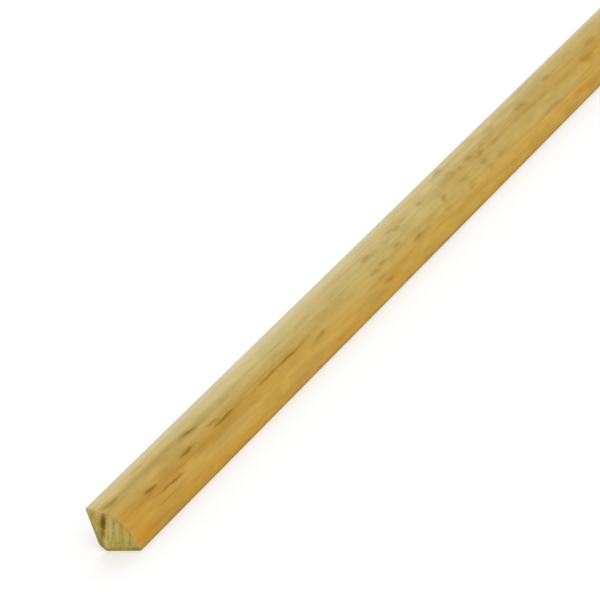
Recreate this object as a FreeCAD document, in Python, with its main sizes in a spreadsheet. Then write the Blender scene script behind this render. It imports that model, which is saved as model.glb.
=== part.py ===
"""Quarter round moulding: one stick of clear pine, planed to a quarter circle.

The stick lies on its floor face with its wall face upright, as it is nailed into the
corner between a skirting board and a floor. X runs along the stick, -Y is the room side
with the toe of the round, +Y is the wall side and +Z is up. The origin is on the floor
face, half way along the stick and half way between its toe and its wall face.
"""

import FreeCAD, Part
import math
import os

import Sketcher

# the driving dimensions, in millimetres
LEG = 19.05  # width of each flat face out to the round, which is also the radius of the round
LENGTH = 2438.4  # one stock length, of eight feet
BACK_RELIEF = 2.6  # what the bevel at the back takes off each flat face, to seat in a tight corner
RELIEF_EASING = 2.0  # radius of the rounding where that bevel meets the flat faces
ARRIS_EASING = 0.5  # radius of the rounded edges at the toe and at the top

# directions across the section, anticlockwise from the wall side
TO_WALL = 0
UP = math.pi / 2
TO_TOE = math.pi
DOWN_FROM_TOE = 3 * math.pi / 2
DOWN = -math.pi / 2
OUT_OF_BEVEL = -math.pi / 4

# how a sketch numbers its horizontal axis and the points of a line or an arc
HORIZONTAL_AXIS = -1
START, END, CENTRE = range(1, 4)


def add_dimensions(doc):
    """The sheet that every size in the document is bound to."""
    sheet = doc.addObject("Spreadsheet::Sheet", "Dimensions")
    rows = [
        ("leg", LEG),
        ("length", LENGTH),
        ("back_relief", BACK_RELIEF),
        ("relief_easing", RELIEF_EASING),
        ("arris_easing", ARRIS_EASING),
    ]
    for row, (alias, value) in enumerate(rows, start=1):
        sheet.set(f"A{row}", alias)
        sheet.set(f"B{row}", str(value))
        sheet.setAlias(f"B{row}", alias)
    doc.recompute()
    return sheet


def origin_plane(body, role):
    """One of the body's own origin planes, by its role."""
    for feature in body.Origin.OriginFeatures:
        if feature.Role == role:
            return feature
    raise ValueError(f"{body.Label} has no origin plane {role}")


def arc(centre, radius, start_angle, end_angle):
    """An anticlockwise arc in the plane of the section."""
    circle = Part.Circle(centre, FreeCAD.Vector(0, 0, 1), radius)
    return Part.ArcOfCircle(circle, start_angle, end_angle)


def round_and_arrises(corner, leg, easing):
    """The rounded top edge, the quarter round and the rounded toe.

    The round is struck from the corner where the two flat faces would meet. Each rounded
    edge touches one flat face and the round, so its centre lies one easing radius in from
    the face and one easing radius in from the round.
    """
    along_face = math.sqrt((leg - easing) ** 2 - easing ** 2)
    lift = math.atan2(easing, along_face)
    top = arc(corner + FreeCAD.Vector(-easing, along_face, 0), easing, TO_WALL, UP + lift)
    toe = arc(corner + FreeCAD.Vector(-along_face, easing, 0), easing, TO_TOE - lift, DOWN_FROM_TOE)
    return top, arc(corner, leg, UP + lift, TO_TOE - lift), toe


def bevel_easings(corner, relief, easing):
    """The rounded ends of the bevel, each touching one flat face and the bevel."""
    along_face = relief + easing * math.tan((OUT_OF_BEVEL - DOWN) / 2)
    low_centre = corner + FreeCAD.Vector(-along_face, easing, 0)
    high_centre = corner + FreeCAD.Vector(-easing, along_face, 0)
    low = arc(low_centre, easing, DOWN, OUT_OF_BEVEL)
    return low, arc(high_centre, easing, OUT_OF_BEVEL, TO_WALL)


def draw_section(sketch, sheet):
    """The closed outline of the stick's end, drawn anticlockwise from the toe.

    Across the sketch is Y and up is Z. Each piece runs smoothly into the next.
    """
    corner = FreeCAD.Vector(sheet.leg / 2, 0, 0)
    top, quarter, toe = round_and_arrises(corner, sheet.leg, sheet.arris_easing)
    low, high = bevel_easings(corner, sheet.back_relief, sheet.relief_easing)
    pieces = {
        "floor": Part.LineSegment(toe.EndPoint, low.StartPoint),
        "low_easing": low,
        "bevel": Part.LineSegment(low.EndPoint, high.StartPoint),
        "high_easing": high,
        "wall": Part.LineSegment(high.EndPoint, top.StartPoint),
        "top_arris": top,
        "round": quarter,
        "toe_arris": toe,
    }
    return {name: sketch.addGeometry(shape) for name, shape in pieces.items()}


def hold_section(sketch, piece):
    """How the pieces of the outline stand to each other, whatever their sizes."""
    ring = list(piece.values())
    rules = [("Tangent", first, END, second, START) for first, second in zip(ring, ring[1:] + ring[:1])]
    # the floor face is level with the origin, and the wall face is square to it
    rules.append(("PointOnObject", piece["floor"], END, HORIZONTAL_AXIS))
    rules.append(("Horizontal", piece["floor"]))
    rules.append(("Vertical", piece["wall"]))
    # the round is struck from where the two faces would meet
    rules.append(("PointOnObject", piece["round"], CENTRE, piece["floor"]))
    rules.append(("PointOnObject", piece["round"], CENTRE, piece["wall"]))
    # the bevel takes as much off one face as off the other
    rules.append(("Angle", piece["bevel"], OUT_OF_BEVEL + UP))
    rules.append(("Equal", piece["low_easing"], piece["high_easing"]))
    rules.append(("Equal", piece["top_arris"], piece["toe_arris"]))
    for rule in rules:
        sketch.addConstraint(Sketcher.Constraint(*rule))


def size_section(sketch, piece):
    """Names each size of the section and binds it to the sheet."""
    quarter_centre = (piece["round"], CENTRE)
    sizes = [
        ("leg", "Dimensions.leg", "Radius", (piece["round"],)),
        ("corner_place", "Dimensions.leg / 2", "DistanceX", quarter_centre),
        ("arris_easing", "Dimensions.arris_easing", "Radius", (piece["top_arris"],)),
        ("relief_easing", "Dimensions.relief_easing", "Radius", (piece["low_easing"],)),
        ("bevel_depth", "Dimensions.back_relief / sqrt(2)", "Distance", (*quarter_centre, piece["bevel"])),
    ]
    for name, expression, kind, where in sizes:
        value = float(sketch.evalExpression(expression))
        index = sketch.addConstraint(Sketcher.Constraint(kind, *where, value))
        sketch.renameConstraint(index, name)
        sketch.setExpression(f"Constraints.{name}", expression)


def add_moulding(doc, sheet):
    """The whole stick: its section carried along the stock length."""
    body = doc.addObject("PartDesign::Body", "Moulding")
    body.Label = "quarter_round_moulding"

    section = body.newObject("Sketcher::SketchObject", "Section")
    section.AttachmentSupport = [(origin_plane(body, "YZ_Plane"), "")]
    section.MapMode = "FlatFace"
    piece = draw_section(section, sheet)
    hold_section(section, piece)
    size_section(section, piece)

    stick = body.newObject("PartDesign::Pad", "Stick")
    stick.Profile = section
    stick.SideType = "Symmetric"
    stick.setExpression("Length", "Dimensions.length")
    body.Tip = stick
    return body


def check(doc, pieces):
    """Stops before anything is written if the document or a piece is not sound."""
    for item in doc.Objects:
        if "Invalid" in item.State or "Error" in item.State:
            raise RuntimeError(f"{item.Label} did not compute: {item.State}")
    for piece in pieces:
        if piece.Shape.isNull() or not piece.Shape.isValid() or len(piece.Shape.Solids) != 1:
            raise RuntimeError(f"{piece.Label} is not one sound solid")


def main():
    doc = FreeCAD.newDocument("QuarterRoundMoulding")
    sheet = add_dimensions(doc)
    pieces = [add_moulding(doc, sheet)]
    doc.recompute()
    check(doc, pieces)
    os.makedirs("parts", exist_ok=True)
    for piece in pieces:
        piece.Shape.exportStep(f"parts/{piece.Label}.step")
        box = piece.Shape.BoundBox
        print(f"{piece.Label}: {box.XLength:.2f} x {box.YLength:.2f} x {box.ZLength:.2f} mm")


main()
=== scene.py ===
"""Looks of a quarter round moulding: one planed stick of clear pine, lying on its floor face.

Everything is in metres in the frame of the CAD model: X runs along the stick, away from the
sawn end that shows, -Y is the room side with the toe of the round, +Y is the wall side and
+Z is up. Small sizes are given in millimetres, and MM turns them into metres.
"""

import math

import bpy
import numpy as np
from mathutils import Matrix, Vector


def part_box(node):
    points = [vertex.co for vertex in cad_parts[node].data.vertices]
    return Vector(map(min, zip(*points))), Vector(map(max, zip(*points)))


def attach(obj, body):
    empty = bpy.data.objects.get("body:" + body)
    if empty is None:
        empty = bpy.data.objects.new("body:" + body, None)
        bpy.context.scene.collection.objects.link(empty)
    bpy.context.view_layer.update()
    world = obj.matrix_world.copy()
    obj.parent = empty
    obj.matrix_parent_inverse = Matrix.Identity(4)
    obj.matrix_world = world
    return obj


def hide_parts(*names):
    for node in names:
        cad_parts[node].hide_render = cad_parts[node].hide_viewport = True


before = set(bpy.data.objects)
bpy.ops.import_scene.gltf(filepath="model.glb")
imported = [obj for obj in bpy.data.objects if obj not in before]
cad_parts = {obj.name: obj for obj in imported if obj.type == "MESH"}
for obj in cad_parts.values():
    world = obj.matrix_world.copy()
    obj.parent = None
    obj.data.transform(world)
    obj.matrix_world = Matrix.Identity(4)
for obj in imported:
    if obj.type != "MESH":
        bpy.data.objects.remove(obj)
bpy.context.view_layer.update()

MM = 0.001
NODE = "quarter_round_moulding"

node_low, node_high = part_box(NODE)

# the stick, read from the frame
LENGTH = node_high.x - node_low.x
LEG = node_high.y - node_low.y  # width of each flat face and radius of the round
NEAR_END = node_low.x
WALL = node_high.y
FLOOR = node_low.z

# the section's small sizes, as in the CAD model
BACK_RELIEF = 2.6 * MM  # what the bevel at the back takes off each flat face
RELIEF_EASING = 2.0 * MM  # radius of the rounding where that bevel meets the flat faces
ARRIS_EASING = 0.5 * MM  # radius of the rounded edges at the toe and at the top

# the growth rings: the direction in which they follow one another across the section, how far
# a ring drifts towards the toe along the stick, because it was sawn a little off the grain,
# and the distance in mm from one latewood line to the next
RING_ACROSS_Y = -0.913
RING_ACROSS_Z = -0.408
RING_DRIFT = 1 / 50
RING_WIDTH = 3.7


def linear(hex_colour):
    """An sRGB hex colour such as #C0A054 as linear RGBA."""
    channels = [int(hex_colour[i:i + 2], 16) / 255 for i in (1, 3, 5)]
    return [c / 12.92 if c <= 0.04045 else ((c + 0.055) / 1.055) ** 2.4 for c in channels] + [1.0]


# Shape of the stick


# directions across the section, anticlockwise from the wall side
TO_WALL = 0
UP = math.pi / 2
TO_TOE = math.pi
DOWN_FROM_TOE = 3 * math.pi / 2
DOWN = -math.pi / 2
OUT_OF_BEVEL = -math.pi / 4

# how many sides each piece of the section's outline is drawn with
FACE_SIDES = 22
BEVEL_SIDES = 4
RELIEF_EASING_SIDES = 5
ARRIS_SIDES = 6
ROUND_SIDES = 84


def half_cosine(start, end, sides):
    """Points from start to end, closer together towards both ends, without the last one.

    The share of the way is (1 - cos(pi k / n)) / 2 for point k of n.
    """
    share = (1 - np.cos(np.pi * np.arange(sides) / sides)) / 2
    return start + (end - start) * share[:, None]


def arc_points(centre, radius, start, end, sides):
    """Points of an arc at even steps of angle, without the last one. Angles are in radians."""
    angle = start + (end - start) * np.arange(sides) / sides
    return centre + radius * np.stack([np.cos(angle), np.sin(angle)], axis=1)


def section_outline():
    """The closed outline of the section as rows of (y, z), anticlockwise from the toe.

    The round is a circle of radius LEG about the corner where the flat faces would meet. A
    rounded edge of radius e touches a flat face and the round, so its centre is e in from
    the face and sqrt((LEG - e)^2 - e^2) along it from the corner. The bevel's rounded end of
    radius e has its centre e in from the face, and the relief plus e times the tangent of
    half the turn from face to bevel along it.
    """
    corner = np.array([WALL, FLOOR])
    along = math.sqrt((LEG - ARRIS_EASING) ** 2 - ARRIS_EASING ** 2)
    lift = math.atan2(ARRIS_EASING, along)
    toe = corner + [-along, ARRIS_EASING]
    top = corner + [-ARRIS_EASING, along]
    to_easing = BACK_RELIEF + RELIEF_EASING * math.tan((OUT_OF_BEVEL - DOWN) / 2)
    low = corner + [-to_easing, RELIEF_EASING]
    high = corner + [-RELIEF_EASING, to_easing]
    to_bevel = RELIEF_EASING * np.array([math.sqrt(0.5), -math.sqrt(0.5)])
    return np.concatenate([
        half_cosine(toe + [0, -ARRIS_EASING], low + [0, -RELIEF_EASING], FACE_SIDES),
        arc_points(low, RELIEF_EASING, DOWN, OUT_OF_BEVEL, RELIEF_EASING_SIDES),
        half_cosine(low + to_bevel, high + to_bevel, BEVEL_SIDES),
        arc_points(high, RELIEF_EASING, OUT_OF_BEVEL, TO_WALL, RELIEF_EASING_SIDES),
        half_cosine(high + [RELIEF_EASING, 0], top + [ARRIS_EASING, 0], FACE_SIDES),
        arc_points(top, ARRIS_EASING, TO_WALL, UP + lift, ARRIS_SIDES),
        arc_points(corner, LEG, UP + lift, TO_TOE - lift, ROUND_SIDES),
        arc_points(toe, ARRIS_EASING, TO_TOE - lift, DOWN_FROM_TOE, ARRIS_SIDES),
    ])


def outward_normals(outline):
    """The outward direction at each point of the outline: its tangent turned clockwise."""
    tangent = np.roll(outline, -1, axis=0) - np.roll(outline, 1, axis=0)
    normal = np.stack([tangent[:, 1], -tangent[:, 0]], axis=1)
    return normal / np.linalg.norm(normal, axis=1, keepdims=True)


def girth_of(outline):
    """Distance round the outline to each point, with the whole way round as the last value."""
    step = np.linalg.norm(np.roll(outline, -1, axis=0) - outline, axis=1)
    return np.concatenate([[0], np.cumsum(step)])


# the texture map: the long surface in rows, one stretch of the stick in each, and the two
# sawn ends side by side in a band above them, all as shares of the map's width or height
MAP_ROWS = 6
ROWS_SHARE = 0.86  # height of all the rows together
MAP_GAP = 0.015  # left free at each side of a row, as a share of that row
MAP_MARGIN = 0.004  # left free at the map's sides and round the ends
NEAR_CAP_LEFT = 0.02
FAR_CAP_LEFT = 0.52

# steps between cross sections, in mm: fine at the sawn ends, wider along the stick, and widest
# past the stretch that shows
RIM_STEP = 0.12
STEP_GROWTH = 0.2  # for each mm from the nearer end
SHOWN_STEP = 1.35
HIDDEN_STEP = 12.0
SHOWN_LENGTH = 480.0
WIDENING_LENGTH = 60.0  # over which the widest step grows from the one limit to the other
STEP_SAMPLES = 40001  # places at which the running sum is taken


def stations():
    """Distances of the cross sections from the near end.

    The step is a function of the place: it grows from the rim by a fifth of the distance to
    the nearer end, up to a limit that widens past the stretch that shows. The places are
    read off the running sum of one over the step at even counts. The station nearest to each
    join between two rows of the texture map is moved onto it.
    """
    place = np.linspace(0, LENGTH, STEP_SAMPLES)
    to_end = np.minimum(place, LENGTH - place)
    limits_at = [0, SHOWN_LENGTH * MM, (SHOWN_LENGTH + WIDENING_LENGTH) * MM]
    widest = np.interp(place, limits_at, [SHOWN_STEP, SHOWN_STEP, HIDDEN_STEP])
    step = np.minimum(RIM_STEP + STEP_GROWTH * to_end / MM, widest) * MM
    count = np.concatenate([[0], np.cumsum((place[1:] - place[:-1]) / step[1:])])
    along = np.interp(np.linspace(0, count[-1], int(count[-1]) + 1), count, place)
    joins = LENGTH * np.arange(1, MAP_ROWS) / MAP_ROWS
    along[np.abs(along[:, None] - joins).argmin(axis=0)] = joins
    return along


NOISE_WAVES = 28  # sines that are added up


def smooth_noise(points, seed):
    """Soft noise of about unit size: a sum of sines with seeded random directions and phases.

    points are rows of coordinates, already divided by the wanted feature size.
    """
    rng = np.random.default_rng(seed)
    direction = rng.normal(size=(NOISE_WAVES, points.shape[-1]))
    phase = rng.uniform(0, 2 * np.pi, NOISE_WAVES)
    return np.sin(points @ direction.T + phase).sum(axis=-1) / math.sqrt(NOISE_WAVES / 2)


# relief of the planed surface, in mm
LATEWOOD_PROUD = 0.02
WANDER_HEIGHT = 0.012
WANDER_LENGTH = 110
WANDER_GIRTH = 12
PLANED_DEPTH = 0.045  # under the true section, so that nothing rises past it
PLANED_SEED = 3


def planed_relief(along, y, z, girth):
    """Height of the planed surface over the true section, in metres, never above zero.

    A hard latewood line stands 0.02 mm proud of the soft wood beside it, and the surface
    wanders by up to 0.03 mm over a hand's breadth, as planed stock does. A place across the
    rings is its distance across them, less their drift along the stick.
    """
    across = (y - WALL) * RING_ACROSS_Y + (z - FLOOR) * RING_ACROSS_Z - along * RING_DRIFT
    latewood = np.clip(np.sin(2 * np.pi * across / MM / RING_WIDTH), 0, 1) ** 3
    place = np.stack([along / MM / WANDER_LENGTH, girth / MM / WANDER_GIRTH], axis=-1)
    wander = smooth_noise(place, PLANED_SEED)
    height = LATEWOOD_PROUD * latewood + WANDER_HEIGHT * wander - PLANED_DEPTH
    return np.minimum(height, 0) * MM


# relief of the sawn ends, in mm
SAW_RIDGES = (0.5, 5.7)  # radians per mm along Y and Z: ridges nearly along Y, 1.1 mm apart
RIDGE_HEIGHT = 0.035
TORN_HEIGHT = 0.04
TORN_SIZES = (0.5, 1.7)
SAWN_DEPTH = 0.07
DEEPEST_TEAR = 0.3
NEAR_SAW_SEED = 11
FAR_SAW_SEED = 21


def sawn_depth(y, z, seed):
    """How deep the saw left a place of the end face, in metres.

    The saw's teeth leave ridges along Y, 1.1 mm apart, and short fibres are torn out in
    between: soft noise of two sizes, cut off at nothing and at 0.3 mm.
    """
    points = np.stack([(y - WALL) / MM, (z - FLOOR) / MM], axis=-1)
    depth = SAWN_DEPTH + RIDGE_HEIGHT * np.sin(points @ np.array(SAW_RIDGES))
    for number, size in enumerate(TORN_SIZES):
        depth += TORN_HEIGHT * smooth_noise(points / size, seed + number)
    return np.clip(depth, 0, DEEPEST_TEAR) * MM


RIM_ROUND = 0.15 * MM  # how far the rounded rim of a sawn end reaches in from its face
CAP_RINGS = 30
CAP_HEART = (-0.36, 0.36)  # where a cap's rings close, in legs from the back corner
RIM_DEPTH_SHARE = 0.3  # how much of the saw's depth a cap keeps at its rim
WHOLE_DEPTH_FROM = 1 / 6  # share of the way to the heart from which it has all of it


def long_surface(outline, along):
    """The stick's long surface: a row of points round the section for each station.

    Point (i, j) is point j of the outline at station i, moved along the outline's normal by
    the relief. At distance d from a sawn end it also moves in by r (1 - d / r)^2, where r is
    RIM_ROUND and d is less than r, which rounds the rim.
    """
    normal = outward_normals(outline)
    x, y = np.meshgrid(along, outline[:, 0], indexing="ij")
    z = np.broadcast_to(outline[:, 1], x.shape)
    height = planed_relief(x, y, z, np.broadcast_to(girth_of(outline)[:-1], x.shape))
    to_rim = np.minimum(x, LENGTH - x)
    height -= RIM_ROUND * np.clip(1 - to_rim / RIM_ROUND, 0, 1) ** 2
    y_and_z = (y + height * normal[:, 0], z + height * normal[:, 1])
    return np.stack([x + NEAR_END, *y_and_z], axis=-1)


def sawn_cap(outline, place, inward, seed):
    """One cap's vertices: the outline shrunk to the heart in even steps, then the heart.

    A ring at share s of the way is (1 - s) times the outline plus s times the heart. The
    saw's depth goes along X, into the stick.
    """
    heart = np.array([WALL + CAP_HEART[0] * LEG, FLOOR + CAP_HEART[1] * LEG])
    share = np.arange(1, CAP_RINGS) / CAP_RINGS
    rings = (1 - share[:, None, None]) * outline + share[:, None, None] * heart
    points = np.concatenate([rings.reshape(-1, 2), heart[None]])
    from_rim = np.append(np.repeat(share, len(outline)), 1.0)
    depth = sawn_depth(points[:, 0], points[:, 1], seed)
    depth *= np.clip(from_rim / WHOLE_DEPTH_FROM, RIM_DEPTH_SHARE, 1)
    return np.column_stack([place + inward * depth, points])


def band(first, second):
    """Quads between rows of vertex numbers, facing outward when first is nearer the near end."""
    after_first, after_second = np.roll(first, -1, axis=-1), np.roll(second, -1, axis=-1)
    return np.stack([first, after_first, after_second, second], axis=-1).reshape(-1, 4)


def cap_faces(rim, first, near):
    """The quads between a cap's rings and the triangles at its heart.

    rim holds the numbers of the vertices round the cap's edge, and first is the number of
    the cap's own first vertex.
    """
    heart = first + (CAP_RINGS - 1) * len(rim)
    rings = np.concatenate([rim[None], np.arange(first, heart).reshape(-1, len(rim))])
    quads = band(rings[1:], rings[:-1]) if near else band(rings[:-1], rings[1:])
    pair = [rings[-1], np.roll(rings[-1], -1)]
    if near:
        pair.reverse()
    return quads, np.stack([*pair, np.full(len(rim), heart)], axis=-1)


def long_map(along, girth):
    """Map places of the long surface's face corners, in rows.

    Along its row a corner lies as it does along its stretch of the stick, and across the row
    as it does round the section.
    """
    row = ((along[:-1] + along[1:]) / 2 / LENGTH * MAP_ROWS).astype(int)[:, None, None]
    start = along[:-1, None, None] / LENGTH * MAP_ROWS - row
    end = along[1:, None, None] / LENGTH * MAP_ROWS - row
    u = np.where([True, True, False, False], start, end) + np.zeros((1, len(girth) - 1, 1))
    around = np.stack([girth[:-1], girth[1:], girth[1:], girth[:-1]], axis=-1) / girth[-1]
    v = (row + MAP_GAP + (1 - 2 * MAP_GAP) * around) / MAP_ROWS * ROWS_SHARE
    return np.stack([MAP_MARGIN + (1 - 2 * MAP_MARGIN) * u, v], axis=-1).reshape(-1, 2)


def cap_map(corners, left):
    """Map places of a cap's face corners: their Y and Z, in the band above the rows."""
    flat = (corners[:, 1:] - [WALL - LEG, FLOOR]) / LEG
    return [left, ROWS_SHARE + MAP_MARGIN] + flat * (1 - ROWS_SHARE - 2 * MAP_MARGIN)


def build_stick():
    """The stick as one closed mesh: its long surface and a sawn cap on each end.

    Returns the vertices, which of them lie on a cap, the quads, the triangles, and the
    texture map's place of each face corner.
    """
    outline = section_outline()
    along = stations()
    side = long_surface(outline, along)
    near_cap = sawn_cap(outline, NEAR_END, 1, NEAR_SAW_SEED)
    far_cap = sawn_cap(outline, NEAR_END + LENGTH, -1, FAR_SAW_SEED)
    vertices = np.concatenate([side.reshape(-1, 3), near_cap, far_cap])

    number = np.arange(len(along) * len(outline)).reshape(len(along), len(outline))
    capped = np.arange(len(vertices)) >= number.size
    near_quads, near_fan = cap_faces(number[0], number.size, near=True)
    far_quads, far_fan = cap_faces(number[-1], number.size + len(near_cap), near=False)
    quads = np.concatenate([band(number[:-1], number[1:]), near_quads, far_quads])
    triangles = np.concatenate([near_fan, far_fan])

    on_caps = (
        (near_quads, NEAR_CAP_LEFT), (far_quads, FAR_CAP_LEFT),
        (near_fan, NEAR_CAP_LEFT), (far_fan, FAR_CAP_LEFT),
    )
    cap_maps = [cap_map(vertices[faces.ravel()], left) for faces, left in on_caps]
    corner_map = np.concatenate([long_map(along, girth_of(outline)), *cap_maps])
    return vertices, capped, quads, triangles, corner_map


# Marks on the stick


# Resin streaks and canals on the round. Each row is one soft stroke: from and to along the
# stick in mm, from and to round the section in degrees up from the toe, its half width in
# mm, and its strength.
RESIN_ON_ROUND = (
    (0, 12.5, 67.5, 65.8, 1.0, 0.66), (4, 62, 66, 62.5, 1.1, 0.24),
    (53.5, 65, 63.6, 60.2, 0.85, 0.78), (58, 110, 61.8, 60.2, 1.2, 0.32),
    (78, 100, 61.3, 60.8, 0.8, 0.12), (25, 33, 75.5, 75, 0.9, 0.22),
    (17, 27, 45.2, 43.2, 0.62, 0.96), (-5, 22, 47, 45, 0.9, 0.14),
    (26, 46, 49, 46, 0.8, 0.12), (44.5, 55, 45.6, 45.9, 0.66, 1.00),
    (51, 58, 45.9, 45.2, 0.6, 0.38), (67, 78, 50, 46.5, 0.6, 0.54),
    (63, 74, 45.5, 43, 0.6, 0.22), (71, 84, 43.4, 43, 0.58, 0.90),
    (80, 96, 42.6, 43.4, 0.7, 0.25), (103, 147, 41.3, 40.6, 0.5, 0.42),
    (104, 117, 41.5, 40.8, 0.5, 0.30), (119, 134, 40.6, 40.2, 0.52, 0.48),
    (20, 42, 33, 31.2, 0.55, 0.58), (33, 42, 31.9, 31, 0.55, 0.56),
    (17, 40, 23.5, 22, 0.6, 0.44), (92, 102, 31.5, 30, 0.9, 0.18),
    (118, 140, 21, 19, 0.5, 0.28), (139, 150, 28, 29.5, 0.8, 0.30),
    (147, 155.5, 31.5, 33, 0.66, 0.70), (155, 161, 13, 11, 0.6, 0.32),
    (160, 182, 46, 47, 0.8, 0.18), (186, 200, 47.5, 48.5, 0.8, 0.12),
    (200.5, 207.5, 59.5, 62, 1.0, 0.60), (205, 215, 59.5, 58.5, 0.8, 0.28),
    (197.5, 204, 39, 39, 1.0, 0.58), (204.5, 213, 40.5, 42.3, 0.95, 0.46),
    (187.5, 199, 27, 28.5, 0.8, 0.25), (198, 206.5, 28.5, 28.5, 0.8, 0.36),
    (201.5, 208.5, 20.5, 18, 0.9, 0.55), (205, 222, 23.5, 23, 1.2, 0.14),
    (218.5, 225, 58.5, 58.5, 0.9, 0.26), (225, 230.5, 69.5, 64.5, 1.4, 0.24),
    (227.5, 236.5, 60.5, 62, 1.2, 0.50), (236, 243.5, 63, 63, 1.2, 0.34),
    (220.5, 227.5, 44.8, 44.8, 0.9, 0.44), (233, 246, 50, 53, 0.8, 0.14),
    (231, 242, 31.5, 33.5, 0.9, 0.60), (241, 250, 32.5, 32.5, 1.0, 0.20),
    (252.8, 258.6, 62.8, 64, 1.1, 0.48), (264, 270, 44.5, 45.5, 1.6, 0.60),
    (260.5, 268, 31.3, 31.3, 0.8, 0.34), (270.5, 280, 62.5, 60.5, 1.6, 0.26),
    (278.5, 287, 59.5, 63, 1.7, 0.40), (288.5, 294.5, 59, 59, 1.0, 0.34),
    (296.5, 304, 61, 59.5, 1.3, 0.48), (278.5, 287.5, 80, 82.4, 1.4, 0.62),
    (273, 281, 75.5, 79, 0.9, 0.22), (283.5, 291, 43.4, 42.8, 1.1, 0.44),
    (283.5, 290, 31, 28, 1.0, 0.44), (299, 305.5, 31.5, 31.5, 0.9, 0.26),
    (301, 308, 41.5, 41.5, 1.1, 0.46), (304, 310.8, 52.8, 56, 1.5, 0.48),
    (309, 316.5, 60.5, 62, 0.9, 0.40), (312.5, 323, 32.8, 32.5, 0.9, 0.40),
    (310, 321, 83, 81.5, 1.0, 0.30), (321, 331.5, 71, 69.8, 1.8, 0.36),
    (314, 325, 52, 52, 1.5, 0.16), (348.5, 358, 62.5, 60, 2.3, 0.34),
    (338, 362, 51.5, 51.5, 2.0, 0.14), (360, 370.5, 82, 82.8, 1.1, 0.36),
    (378.5, 387.5, 65, 64.5, 1.3, 0.36), (358, 378, 30, 25.5, 1.1, 0.38),
    (406, 419, 43, 42.5, 1.9, 0.50), (419.5, 430, 58, 59, 1.8, 0.30),
    (417, 428, 45, 45, 1.1, 0.18),
    # broad faint bands
    (-30, 80, 66, 61, 3.0, 0.08), (-20, 120, 47, 41, 3.0, 0.10),
    (95, 185, 40, 38, 2.4, 0.08), (-10, 45, 11, 8, 1.2, 0.14),
    (45, 95, 33, 31, 1.5, 0.16), (90, 240, 65, 62, 3.6, 0.14),
    (355, 405, 52, 50, 3.0, 0.08), (-40, 150, 42, 37, 1.8, 0.13),
    (40, 200, 10, 8, 1.2, 0.14),
)

# Broad greyer bands on the round, in the same terms.
GREY_ON_ROUND = (
    (100, 600, 66, 62, 4.0, 0.04), (160, 600, 54, 50, 4.0, 0.08),
    (170, 600, 76, 74, 3.0, 0.08), (-60, 70, 66, 66, 2.5, 0.08),
    (345, 430, 82.5, 82, 2.0, 0.08),
)

# Broad changes of tone on the round, in the same terms: positive is more amber.
TONE_ON_ROUND = (
    (260, 600, 57, 51, 5.5, 0.62), (-40, 90, 69, 62, 2.4, 0.42),
    (140, 330, 38, 34, 5.0, -0.30), (0, 80, 12, 8, 2.5, 0.08),
    (330, 405, 37, 34, 2.0, -0.16), (40, 130, 54, 52, 3.0, -0.25),
    (375, 480, 48, 38, 2.6, 0.65), (370, 480, 77, 75, 2.4, 0.20),
    (-5, 17, 14, 9, 2.2, 0.72), (150, 174, 11, 9, 1.4, 0.40),
    (198, 216, 19, 15, 1.6, 0.40), (388, 406, 15, 12, 1.6, 0.35),
)

# Paler patches on the round, in the same terms.
PALE_ON_ROUND = (
    (30, 210, 80, 79, 3.0, 0.16), (160, 280, 48, 44, 4.5, 0.12),
    (345, 400, 36, 33, 1.8, 0.16), (6, 38, 56, 56, 1.6, 0.16),
    (50, 104, 22, 22, 1.8, 0.18), (280, 380, 26, 24, 2.5, 0.12),
    (24, 60, 27, 26, 1.0, 0.20), (140, 215, 38, 31, 2.8, 0.24),
    (255, 292, 35, 30, 2.4, 0.18), (105, 165, 21, 19, 2.0, 0.14),
)

# Where the top of the round is paler than elsewhere, in the same terms: partly paler wood and
# partly painted sheen.
PALE_AND_SHEEN_ON_TOP = ((0, 240, 84, 83, 3.0, 0.26),)

# Marks on the sawn end that shows. Each row: from (y, z) and to (y, z) in legs from the back
# corner, half width in legs, and strength.
RESIN_ON_END = (
    (-0.45, 0.98, -0.27, 0.50, 0.050, 0.96), (-0.37, 0.80, -0.26, 0.50, 0.055, 1.20),
    (-0.32, 0.74, -0.18, 0.33, 0.056, 0.82), (-0.22, 0.50, -0.04, 0.10, 0.055, 0.60),
    (-0.10, 1.05, -0.12, 0.40, 0.110, 0.10), (-0.48, 0.36, -0.42, 0.25, 0.035, 0.20),
    (-0.71, 0.76, -0.66, 0.62, 0.030, 0.22), (-0.94, 0.43, -0.91, 0.33, 0.030, 0.20),
)
# The strokes along the end's lower edge, next to the floor, are painted shade.
GREY_ON_END = (
    (-0.02, 1.10, -0.02, 0.00, 0.030, 0.35), (-0.03, 0.66, -0.03, 0.40, 0.040, 0.40),
    (-0.02, 0.34, -0.16, -0.02, 0.040, 0.60), (-0.10, 0.045, -1.10, 0.045, 0.030, 0.55),
    (-0.74, 0.05, -1.02, 0.05, 0.030, 0.62), (-0.26, 0.10, -0.75, 0.10, 0.014, 0.25),
    (-0.46, 0.22, -0.47, 0.14, 0.045, 0.25), (-0.80, 0.27, -0.85, 0.19, 0.040, 0.25),
    (-0.20, 0.42, -0.05, 0.12, 0.050, 0.28), (-0.12, 0.03, -0.48, 0.04, 0.030, 0.35),
)
# The strokes along the rim where the end meets the round are partly warmer torn fibres and partly
# a painted highlight on that edge.
TONE_ON_END = (
    (-0.62, 0.80, -0.96, 0.24, 0.060, 1.00), (-0.02, 0.98, -0.56, 0.86, 0.050, 1.30),
    (-0.36, 0.96, -0.62, 0.76, 0.030, 0.70), (-0.20, 0.84, -0.25, 0.54, 0.080, 0.30),
    (-0.44, 0.92, -0.28, 0.52, 0.050, 0.90), (-0.80, 0.32, -1.00, 0.10, 0.050, 0.35),
)
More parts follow.
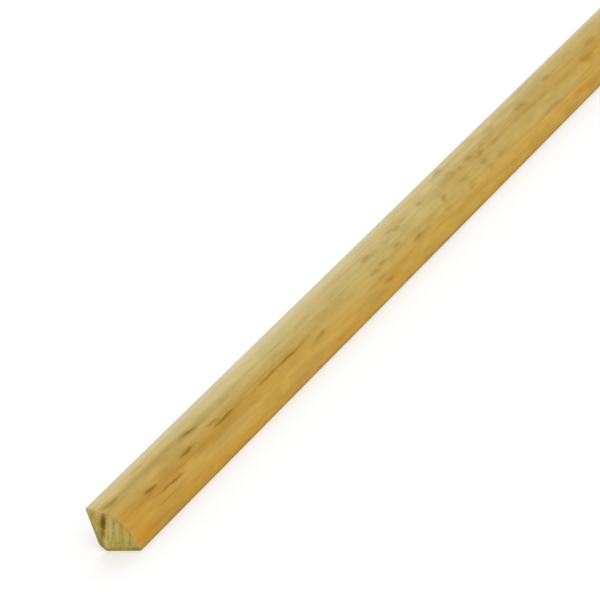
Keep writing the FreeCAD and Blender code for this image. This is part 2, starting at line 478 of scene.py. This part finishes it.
# The stroke along the end's upper rim is partly paler torn fibres and partly a painted highlight
# on that edge.
PALE_ON_END = (
    (-0.50, 0.86, -0.17, 0.16, 0.018, 0.50), (-0.57, 0.84, -0.30, 0.16, 0.036, 0.42),
    (-0.02, 1.01, -0.56, 0.85, 0.036, 0.95), (-0.46, 0.52, -0.34, 0.30, 0.060, 0.22),
    (-0.64, 0.56, -0.55, 0.22, 0.020, 0.25), (-0.86, 0.48, -0.74, 0.20, 0.030, 0.35),
    (-0.15, 0.30, -0.25, 0.06, 0.055, 0.60), (-0.22, 0.140, -0.84, 0.140, 0.016, 0.20),
    (-0.09, 0.62, -0.12, 0.46, 0.030, 0.25),
)

# how a stroke fades out at its ends, narrows towards them, and falls off to its sides
STROKE_FADE = 0.6
STROKE_NARROWING = 0.75
STROKE_FALL = 1.5

# where the round begins, in legs from the back corner, and over how much its marks fade in
ROUND_FROM = 0.94
ROUND_FADE = 0.03

# how the strokes waver, in mm: the size of the wavering and how far it moves them
WAVER_LENGTH = 2.4
WAVER_GIRTH = 0.9
WAVER_ALONG = 1.0
WAVER_ROUND = 0.11
WAVER_ALONG_SEED = 31
WAVER_ROUND_SEED = 32

# the painted shade along the toe's edge and the painted sheen along the top: strength, and half
# width in mm
TOE_SHADE = 0.55
TOE_SHADE_WIDTH = 0.9
TOP_SHEEN = 0.28
TOP_SHEEN_WIDTH = 2.6

HAND_FADE = 30  # mm over which the listed marks give way to the material's own


def soft_strokes(u, v, strokes):
    """How much a set of soft strokes covers each place.

    A stroke runs straight from (u0, v0) to (u1, v1). With t the share of the way along it
    and d the distance to it, it counts as its strength times 4 t (1 - t) to the power of
    STROKE_FADE, which fades it out at both ends, over 1 + d^2 / w^2 to the power of
    STROKE_FALL, which gives it a core and a soft halo. The width w narrows towards the ends
    like a lens: w^2 is the half width squared times 1 - STROKE_NARROWING (2 t - 1)^2.
    """
    u0, v0, u1, v1, width, strength = np.array(strokes, float).T[:, :, None]
    du, dv = u1 - u0, v1 - v0
    share = np.clip(((u - u0) * du + (v - v0) * dv) / (du ** 2 + dv ** 2), 0, 1)
    squared = (u - u0 - share * du) ** 2 + (v - v0 - share * dv) ** 2
    lens = width ** 2 * (1 - STROKE_NARROWING * (2 * share - 1) ** 2)
    fade = (4 * share * (1 - share)) ** STROKE_FADE
    return (strength * fade / (1 + squared / lens) ** STROKE_FALL).sum(axis=0)


def mark_stick(mesh, vertices, capped):
    """Writes the stick's marks as one number per vertex each.

    Round the section a place is measured by its angle about the back corner times LEG, and
    the strokes count only where its distance from that corner is a leg. "hand" is 1 where
    the strokes are listed, and the material keeps its own flecks off there.
    """
    along, y, z = (vertices - [NEAR_END, WALL, FLOOR]).T
    on_near_cap = capped & (along < LENGTH / 2)
    on_round = np.clip((np.hypot(y, z) / LEG - ROUND_FROM) / ROUND_FADE, 0, 1) * ~capped
    along_mm = along / MM
    round_mm = np.arctan2(z, -y) * LEG / MM

    # the strokes are ragged: the place where each is looked up wavers by fractions of a mm
    waver = np.stack([along_mm / WAVER_LENGTH, round_mm / WAVER_GIRTH], axis=-1)
    shifted_along = along_mm + WAVER_ALONG * smooth_noise(waver, WAVER_ALONG_SEED)
    shifted_round = round_mm + WAVER_ROUND * smooth_noise(waver, WAVER_ROUND_SEED)

    def on_the_round(rows):
        """Strokes on the round, with their angles turned into mm round the section."""
        start, end, start_turn, end_turn, width, strength = np.array(rows, float).T
        start_round, end_round = (np.radians(turn) * LEG / MM for turn in (start_turn, end_turn))
        strokes = np.column_stack([start, start_round, end, end_round, width, strength])
        return soft_strokes(shifted_along, shifted_round, strokes) * on_round

    def on_the_end(rows):
        """Strokes on the sawn end that shows."""
        return soft_strokes(y / LEG, z / LEG, rows) * on_near_cap

    # painted shade: the thin edge at the toe, which turns down away from the light, is darker
    painted_toe_shade = TOE_SHADE * on_round / (1 + (shifted_round / TOE_SHADE_WIDTH) ** 4)

    # painted sheen: the top of the round, which faces the light, is lighter
    to_top = math.pi / 2 * LEG / MM - shifted_round
    painted_top_sheen = TOP_SHEEN * on_round / (1 + (to_top / TOP_SHEEN_WIDTH) ** 4)

    marks = {
        "resin": on_the_round(RESIN_ON_ROUND) + on_the_end(RESIN_ON_END),
        # the grey marks take in painted shade along the toe's edge and along the sawn end's lower
        # edge
        "grey": on_the_round(GREY_ON_ROUND) + on_the_end(GREY_ON_END) + painted_toe_shade,
        "tone": on_the_round(TONE_ON_ROUND) + on_the_end(TONE_ON_END),
        "pale": on_the_round(PALE_ON_ROUND) + on_the_end(PALE_ON_END),
        "pale_and_sheen": on_the_round(PALE_AND_SHEEN_ON_TOP) + painted_top_sheen,
        "end_grain": capped.astype(float),
        "hand": on_round * np.clip((SHOWN_LENGTH - along_mm) / HAND_FADE, 0, 1),
    }
    for name, values in marks.items():
        attribute = mesh.attributes.new(name, "FLOAT", "POINT")
        attribute.data.foreach_set("value", values.astype(np.float32))


def mesh_from(name, vertices, quads, triangles, corner_map):
    """A smooth mesh from arrays of vertices, quads, triangles and map places of face corners."""
    mesh = bpy.data.meshes.new(name)
    corners = np.concatenate([quads.ravel(), triangles.ravel()])
    starts = np.append(np.arange(len(quads)) * 4, quads.size + np.arange(len(triangles)) * 3)
    mesh.vertices.add(len(vertices))
    mesh.vertices.foreach_set("co", vertices.astype(np.float32).ravel())
    mesh.loops.add(len(corners))
    mesh.loops.foreach_set("vertex_index", corners.astype(np.int32))
    mesh.polygons.add(len(starts))
    mesh.polygons.foreach_set("loop_start", starts.astype(np.int32))
    mesh.polygons.foreach_set("use_smooth", np.ones(len(starts), bool))
    mesh.update(calc_edges=True)
    layer = mesh.uv_layers.new(name="OFBake")
    layer.data.foreach_set("uv", corner_map.astype(np.float32).ravel())
    return mesh


# Materials


def add(tree, kind, inputs=(), out=0, stops=(), **settings):
    """Adds a node with its settings, its inputs' values or links and its colour stops.

    Returns the output that out names, if the node has any.
    """
    node = tree.nodes.new("ShaderNode" + kind)
    for name, value in settings.items():
        setattr(node, name, value)
    for socket, value in dict(inputs).items():
        if isinstance(value, bpy.types.NodeSocket):
            tree.links.new(value, node.inputs[socket])
        else:
            node.inputs[socket].default_value = value
    if stops:
        elements = node.color_ramp.elements
        for element, (position, colour) in zip(elements, (stops[0], stops[-1])):
            element.position, element.color = position, colour
        for position, colour in stops[1:-1]:
            elements.new(position).color = colour
    return node.outputs[out] if node.outputs else None


def new_material(name):
    """An empty material with a node tree."""
    material = bpy.data.materials.new(name)
    material.use_nodes = True
    material.node_tree.nodes.clear()
    return material, material.node_tree


# The wood's noise patterns: feature size along the grain and across it, in mm, and octaves.
# Fibre and pore are drawn about ten times coarser than a pine's own fibres of 0.03 mm, so
# that they show.
GRAIN = {
    "warp": (170, 13, 0.4),  # how the rings stray
    "fibre": (22, 0.33, 4),
    "cloud": (60, 7, 2),  # drifts of tone
    "mottle": (15, 2.8, 2),  # drifts of light and dark
    "pore": (1.2, 0.45, 2),
}

# thin layers of the year's growth, in mm: across the rings, along them, and along the stick
LAYER_THICKNESS = 0.9
LAYER_WIDTH = 11
LAYER_LENGTH = 110

RING_STRAY = 1.3  # mm that a ring strays from its plane
PACE_SIZE = 9  # mm across the rings over which their width changes
TONE_PERIOD = 50  # mm across the rings from pale to amber and back
TONE_START = 9  # mm across the rings from the palest wood to the back corner
CLOUD_STRENGTH = 0.7

# how dark the wood is through one year's growth, from 0 to 1: it darkens slowly, and the
# latewood ends at a sharp line
YEAR = ((0.0, 0.25), (0.10, 0.0), (0.50, 0.08), (0.80, 0.5), (0.92, 1.0), (0.97, 0.9), (1.0, 0.25))

CANAL_LENGTH = 34  # mm along the grain of the cell that each resin canal has to itself
CANAL_WIDTH = 3.4  # and across it
FRAYING = 0.22  # how much the fibres fray a canal's sides
RIDGE_SHADE = 0.025  # how much lighter the saw's ridges and darker its grooves are
OPEN_CELLS_LOST = 0.8  # how much of the open cells' darkness a warm mark takes away

CUTTER_STEP = 2.1  # mm between the planer's cutter marks
CUTTER_HEIGHT = 0.05  # of the fibres' relief


def noise_patterns(tree, mm):
    """The noise patterns of GRAIN, each drawn out along the stick by its sizes."""
    noise = {}
    for name, (along, across, octaves) in GRAIN.items():
        scaled = add(tree, "Mapping", {"Vector": mm, "Scale": (1 / along, 1 / across, 1 / across)})
        noise[name] = add(tree, "TexNoise", {
            "Vector": scaled, "Scale": 1.0, "Detail": octaves, "Roughness": 0.6})
    return noise


def growth_layers(tree, mm):
    """Thin layers of the year's growth: noise drawn out along the rings and the stick."""
    directions = (
        [part / LAYER_THICKNESS for part in (-RING_DRIFT, RING_ACROSS_Y, RING_ACROSS_Z)],
        (0, -RING_ACROSS_Z / LAYER_WIDTH, RING_ACROSS_Y / LAYER_WIDTH),
        (1 / LAYER_LENGTH, 0, 0),
    )
    place = [add(tree, "VectorMath", {0: mm, 1: way}, out="Value", operation="DOT_PRODUCT")
             for way in directions]
    noise = add(tree, "TexNoise", {
        "Vector": add(tree, "CombineXYZ", enumerate(place)),
        "Scale": 1.0, "Detail": 2.0, "Roughness": 0.5})
    return add(tree, "MapRange", {"Value": noise, "From Min": 0.42, "From Max": 0.75})


def growth_rings(tree, mm, warp):
    """The place across the rings in mm, a little wavy, and how dark the latewood is there."""
    straight = add(tree, "VectorMath", {
        0: mm, 1: (-RING_DRIFT, RING_ACROSS_Y, RING_ACROSS_Z)},
        out="Value", operation="DOT_PRODUCT")
    wave = add(tree, "MapRange", {
        "Value": warp, "From Min": 0.25, "From Max": 0.75,
        "To Min": -RING_STRAY, "To Max": RING_STRAY}, clamp=False)
    ring = add(tree, "Math", {0: straight, 1: wave}, operation="ADD")

    # some rings are wider than others
    slowed = add(tree, "Math", {0: ring, 1: 1 / PACE_SIZE}, operation="MULTIPLY")
    pace = add(tree, "TexNoise", {"W": slowed, "Scale": 1.0, "Detail": 1.0}, noise_dimensions="1D")
    turns = add(tree, "Math", {0: ring, 1: 1 / RING_WIDTH, 2: pace}, operation="MULTIPLY_ADD")
    phase = add(tree, "Math", {0: turns}, operation="FRACT")
    latewood = add(tree, "ValToRGB", {"Fac": phase}, stops=[
        (place, (dark, dark, dark, 1)) for place, dark in YEAR])
    return ring, latewood


def wood_tone(tree, ring, cloud, tone_mark, end):
    """The wood's ground colour: khaki sapwood, through honey, to amber and a little orange.

    It swings slowly across the rings as a cosine of the ring coordinate, and the clouds and
    the marks add to it. On the sawn ends it hardly changes.
    """
    turn = 2 * math.pi / TONE_PERIOD
    slow = add(tree, "Math", {0: ring, 1: turn, 2: turn * TONE_START}, operation="MULTIPLY_ADD")
    swing = add(tree, "MapRange", {
        "Value": add(tree, "Math", {0: slow}, operation="COSINE"),
        "From Min": 0.85, "From Max": -0.75}, interpolation_type="SMOOTHSTEP")
    clouded = add(tree, "Math", {
        0: cloud, 1: CLOUD_STRENGTH, 2: swing}, operation="MULTIPLY_ADD")
    muted = add(tree, "MapRange", {"Value": end, "To Min": 1.0, "To Max": 0.12})
    toned = add(tree, "Math", {0: clouded, 1: muted, 2: tone_mark}, operation="MULTIPLY_ADD")
    tone = add(tree, "MapRange", {"Value": toned, "From Min": 0.35, "From Max": 1.85})
    return add(tree, "ValToRGB", {"Fac": tone}, stops=[
        (0.0, linear("#CEB975")), (0.23, linear("#C5A959")), (0.43, linear("#C8A44B")),
        (0.67, linear("#CCA141")), (1.0, linear("#CF962C"))])


def unevenness(tree, mm, noise, end):
    """How light each place is against the wood's own colour: fibres, blotches and saw marks."""
    fibres = add(tree, "MapRange", {
        "Value": noise["fibre"], "From Min": 0.25, "From Max": 0.75,
        "To Min": 0.92, "To Max": 1.08})
    blotches = add(tree, "MapRange", {
        "Value": noise["mottle"], "From Min": 0.3, "From Max": 0.7,
        "To Min": 0.90, "To Max": 1.10})
    planed = add(tree, "Math", {0: fibres, 1: blotches}, operation="MULTIPLY")

    # the ridges of the sawn ends catch a little more light than the grooves
    saw_turns = add(tree, "VectorMath", {
        0: mm, 1: (0, *SAW_RIDGES)}, out="Value", operation="DOT_PRODUCT")
    saw_marks = add(tree, "Math", {0: saw_turns}, operation="SINE")
    sawn = add(tree, "Math", {0: saw_marks, 1: end}, operation="MULTIPLY")
    return add(tree, "Math", {0: sawn, 1: -RIDGE_SHADE, 2: planed}, operation="MULTIPLY_ADD")


def resin_in_wood(tree, mm, fibre, resin_mark, hand):
    """How much resin each place holds, and how nearly opaque it is where it lies thick.

    To the marks come short brown flecks about 10 mm long with frayed sides, one to a cell,
    everywhere but where the marks are listed.
    """
    size = (1 / CANAL_LENGTH, 1 / CANAL_WIDTH, 1 / CANAL_WIDTH)
    cells = add(tree, "TexVoronoi", {
        "Vector": add(tree, "Mapping", {"Vector": mm, "Scale": size}), "Scale": 1.0},
        out="Distance")
    frayed_cells = add(tree, "Math", {0: fibre, 1: FRAYING, 2: cells}, operation="MULTIPLY_ADD")
    fleck = add(tree, "MapRange", {
        "Value": frayed_cells, "From Min": 0.29, "From Max": 0.14, "To Max": 0.75},
        interpolation_type="SMOOTHSTEP")
    free = add(tree, "MapRange", {"Value": hand, "To Min": 1.0, "To Max": 0.15})
    flecks = add(tree, "Math", {0: fleck, 1: free}, operation="MULTIPLY")
    resin = add(tree, "Math", {0: resin_mark, 1: flecks}, operation="ADD")
    thick = add(tree, "MapRange", {
        "Value": resin, "From Min": 0.8, "From Max": 2.2, "To Max": 0.65})
    frayed = add(tree, "MapRange", {
        "Value": fibre, "From Min": 0.36, "From Max": 0.64, "To Min": 0.60, "To Max": 1.55})
    return add(tree, "Math", {0: resin, 1: frayed}, operation="MULTIPLY", use_clamp=True), thick


def surface_relief(tree, mm, noise, end):
    """Bump of the fibres and cutter marks on the planed faces, and of the pores on the ends."""
    cutter_turns = add(tree, "Math", {
        0: add(tree, "SeparateXYZ", {0: mm}, out="X"), 1: 2 * math.pi / CUTTER_STEP},
        operation="MULTIPLY")
    cutter = add(tree, "Math", {0: cutter_turns}, operation="SINE")
    planed = add(tree, "Math", {
        0: cutter, 1: CUTTER_HEIGHT, 2: noise["fibre"]}, operation="MULTIPLY_ADD")
    height = add(tree, "Mix", {0: end, 2: planed, 3: noise["pore"]})
    return add(tree, "Bump", {"Height": height, "Strength": 0.6, "Distance": 0.06 * MM})


def pine_material():
    """Clear pine, planed along its length and sawn square at its ends, with no finish on it.

    The eye sees straight, soft-edged bands: pale khaki sapwood that warms to honey, amber
    and a little orange, each year's growth ending in a thin darker line, fine fibres, short
    brown resin canals, a paler top that is partly paler wood and partly painted sheen, a
    painted shade along the edge of the toe, and a dull surface with a little sheen. The sawn
    ends are rough, and darker and greener, because their open cells swallow light.
    """
    material, tree = new_material("planed_clear_pine")
    mm = add(tree, "Mapping", {
        "Vector": add(tree, "TexCoord", out="Object"),
        "Location": (-NEAR_END / MM, -WALL / MM, -FLOOR / MM), "Scale": (1 / MM,) * 3})
    mark = {name: add(tree, "Attribute", out="Fac", attribute_name=name)
            for name in ("resin", "grey", "tone", "pale", "pale_and_sheen", "end_grain", "hand")}

    # the sawn ends, with a sharp edge half way between a cap's vertices and the rim's
    end = add(tree, "MapRange", {"Value": mark["end_grain"], "From Min": 0.45, "From Max": 0.55})

    noise = noise_patterns(tree, mm)
    ring, latewood = growth_rings(tree, mm, noise["warp"])
    wood = wood_tone(tree, ring, noise["cloud"], mark["tone"], end)
    resin, thick = resin_in_wood(tree, mm, noise["fibre"], mark["resin"], mark["hand"])

    # latewood and growth layers show faintly on the planed faces and strongly on the sawn ends
    show = add(tree, "MapRange", {"Value": end, "To Min": 0.17, "To Max": 0.45})
    lined = add(tree, "Math", {0: latewood, 1: show}, operation="MULTIPLY")
    layered = add(tree, "Math", {0: growth_layers(tree, mm), 1: show}, operation="MULTIPLY")

    # open cells make the sawn ends darker and greener, in a mottle of pores, and less so
    # where an end is marked as warmer
    open_cells = add(tree, "ValToRGB", {"Fac": noise["pore"]}, stops=[
        (0.30, linear("#E4EABC")), (0.70, linear("#FDFFDC"))])
    open_share = add(tree, "Math", {
        0: mark["tone"], 1: -OPEN_CELLS_LOST, 2: end}, operation="MULTIPLY_ADD", use_clamp=True)

    # what lies over the ground colour: how it mixes, how much of it there is, and its colour
    layers = (
        ("MIX", lined, linear("#9A7226")),
        ("MIX", layered, linear("#A97F2E")),
        ("MULTIPLY", 1.0, unevenness(tree, mm, noise, end)),
        ("MULTIPLY", open_share, open_cells),
        ("MULTIPLY", resin, linear("#BAA200")),
        ("MIX", thick, linear("#543A08")),
        # grey, with painted shade at the toe's edge and at the sawn end's lower edge
        ("MIX", mark["grey"], linear("#7C7434")),
        ("MIX", mark["pale"], linear("#DAC482")),
        # paler wood and painted sheen at the top of the round
        ("MIX", mark["pale_and_sheen"], linear("#D6D2B8")),
    )
    for blend, amount, colour in layers:
        wood = add(tree, "Mix", {0: amount, 6: wood, 7: colour}, out=2,
                   data_type="RGBA", blend_type=blend)

    # hard latewood is planed smoother than soft wood, and the sawn ends are rougher than both
    planed = add(tree, "MapRange", {"Value": latewood, "To Min": 0.62, "To Max": 0.54})
    sawn = add(tree, "MapRange", {"Value": end, "To Max": 0.2})
    rough = add(tree, "Math", {0: planed, 1: sawn}, operation="ADD")

    shader = add(tree, "BsdfPrincipled", {
        "Base Color": wood, "Roughness": rough, "IOR": 1.5, "Specular IOR Level": 0.2,
        "Normal": surface_relief(tree, mm, noise, end),
        "Sheen Weight": 0.05, "Sheen Roughness": 0.5})
    add(tree, "OutputMaterial", {"Surface": shader})
    return material


# Stage, light and camera


WHITE = (1, 1, 1, 1)
FLOOR_REACH = 60.0  # metres from the middle of the floor to its edges
PAPER_GLOW = 0.2  # what the camera sees added to the paper, where 1 is white


def paper_material():
    """Matt white backdrop paper, an even white sheet that shows only soft shadows.

    The camera sees it a little lighter than it is lit, so that it reads as white where
    nothing shades it. It is clear from below, so that it doesn't hide the stick.
    """
    material, tree = new_material("white_paper_backdrop")
    camera_ray = add(tree, "LightPath", out="Is Camera Ray")
    paper = add(tree, "BsdfDiffuse", {"Color": linear("#EEEEEE")})
    glow = add(tree, "Math", {0: camera_ray, 1: PAPER_GLOW}, operation="MULTIPLY")
    lift = add(tree, "Emission", {"Color": WHITE, "Strength": glow})
    sheet = add(tree, "AddShader", {0: paper, 1: lift})
    below = add(tree, "NewGeometry", out="Backfacing")
    from_below = add(tree, "Math", {0: camera_ray, 1: below}, operation="MULTIPLY")
    clear = add(tree, "BsdfTransparent")
    seen = add(tree, "MixShader", {0: from_below, 1: sheet, 2: clear})
    add(tree, "OutputMaterial", {"Surface": seen})
    return material


def build_floor():
    """A plain pale floor under the stick."""
    ways = ((-1, -1), (1, -1), (1, 1), (-1, 1))
    corners = [(x * FLOOR_REACH, y * FLOOR_REACH, FLOOR) for x, y in ways]
    mesh = bpy.data.meshes.new("floor")
    mesh.from_pydata(corners, [], [(0, 1, 2, 3)])
    floor = bpy.data.objects.new("floor", mesh)
    bpy.context.collection.objects.link(floor)
    mesh.materials.append(paper_material())


# the lamps: direction towards each, strength against a plain level of 1, and softness in degrees
LAMPS = {
    "soft_front": ((-0.42, -0.60, 0.68), 0.30, 45),
    "soft_behind": ((0.73, 0.50, 0.46), 0.23, 50),
}
TENT_LEVEL = 0.66  # light from all round, against the same plain level


def light_scene():
    """A light tent: white all round, stronger from above on the room side and from behind.

    The camera and reflections see the tent as white, whatever it lights the stick with.
    """
    world = bpy.data.worlds.new("light_tent")
    bpy.context.scene.world = world
    world.use_nodes = True
    tree = world.node_tree
    tree.nodes.clear()
    path = add(tree, "LightPath").node.outputs
    seen = add(tree, "Math", {
        0: path["Is Camera Ray"], 1: path["Is Glossy Ray"]}, operation="MAXIMUM")
    shown = add(tree, "Math", {0: seen, 1: path["Is Transmission Ray"]}, operation="MAXIMUM")
    strength = add(tree, "MapRange", {"Value": shown, "To Min": TENT_LEVEL})
    light = add(tree, "Background", {"Color": WHITE, "Strength": strength})
    add(tree, "OutputWorld", {"Surface": light})

    for name, (to_light, strength, softness) in LAMPS.items():
        lamp = bpy.data.lights.new(name, "SUN")
        lamp.energy = strength * math.pi
        lamp.angle = math.radians(softness)
        sun = bpy.data.objects.new(name, lamp)
        bpy.context.collection.objects.link(sun)
        sun.rotation_mode = "QUATERNION"
        sun.rotation_quaternion = Vector(to_light).to_track_quat("Z", "Y")


# the view: the middle of the picture lies by the stick's top edge
AIM_ALONG = 165.7 * MM
AIM_HEIGHT = 18.62 * MM
CAMERA_DISTANCE = 1.3906  # metres
CAMERA_AZIMUTH = math.radians(-52.038)
CAMERA_ELEVATION = math.radians(21.318)
CAMERA_ROLL = math.radians(-19.225)
CAMERA_LENS = 202.96  # mm, on a 36 mm wide picture
CAMERA_REACH = 200  # metres, past the floor's edges


def place_camera():
    """The camera, turned about its own axis so that the stick rises more steeply in view."""
    lens = bpy.data.cameras.new("camera")
    lens.lens = CAMERA_LENS
    lens.clip_end = CAMERA_REACH
    camera = bpy.data.objects.new("camera", lens)
    bpy.context.collection.objects.link(camera)
    bpy.context.scene.camera = camera
    sin_a, cos_a = math.sin(CAMERA_AZIMUTH), math.cos(CAMERA_AZIMUTH)
    sin_e, cos_e = math.sin(CAMERA_ELEVATION), math.cos(CAMERA_ELEVATION)
    back = Vector((sin_a * cos_e, -cos_a * cos_e, sin_e))
    level_right = Vector((cos_a, sin_a, 0))
    level_up = back.cross(level_right)
    right = math.cos(CAMERA_ROLL) * level_right + math.sin(CAMERA_ROLL) * level_up
    up = back.cross(right)
    aim = Vector((NEAR_END + AIM_ALONG, WALL, FLOOR + AIM_HEIGHT))
    turn = Matrix((right, up, back)).transposed().to_4x4()
    camera.matrix_world = Matrix.Translation(aim + back * CAMERA_DISTANCE) @ turn


vertices, capped, quads, triangles, corner_map = build_stick()
stick_mesh = mesh_from("pine_quarter_round", vertices, quads, triangles, corner_map)
mark_stick(stick_mesh, vertices, capped)
stick_mesh.materials.append(pine_material())
stick = bpy.data.objects.new("pine_quarter_round", stick_mesh)
bpy.context.collection.objects.link(stick)
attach(stick, "root")
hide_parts(NODE)

build_floor()
light_scene()
place_camera()

bpy.context.scene.view_settings.view_transform = "Standard"
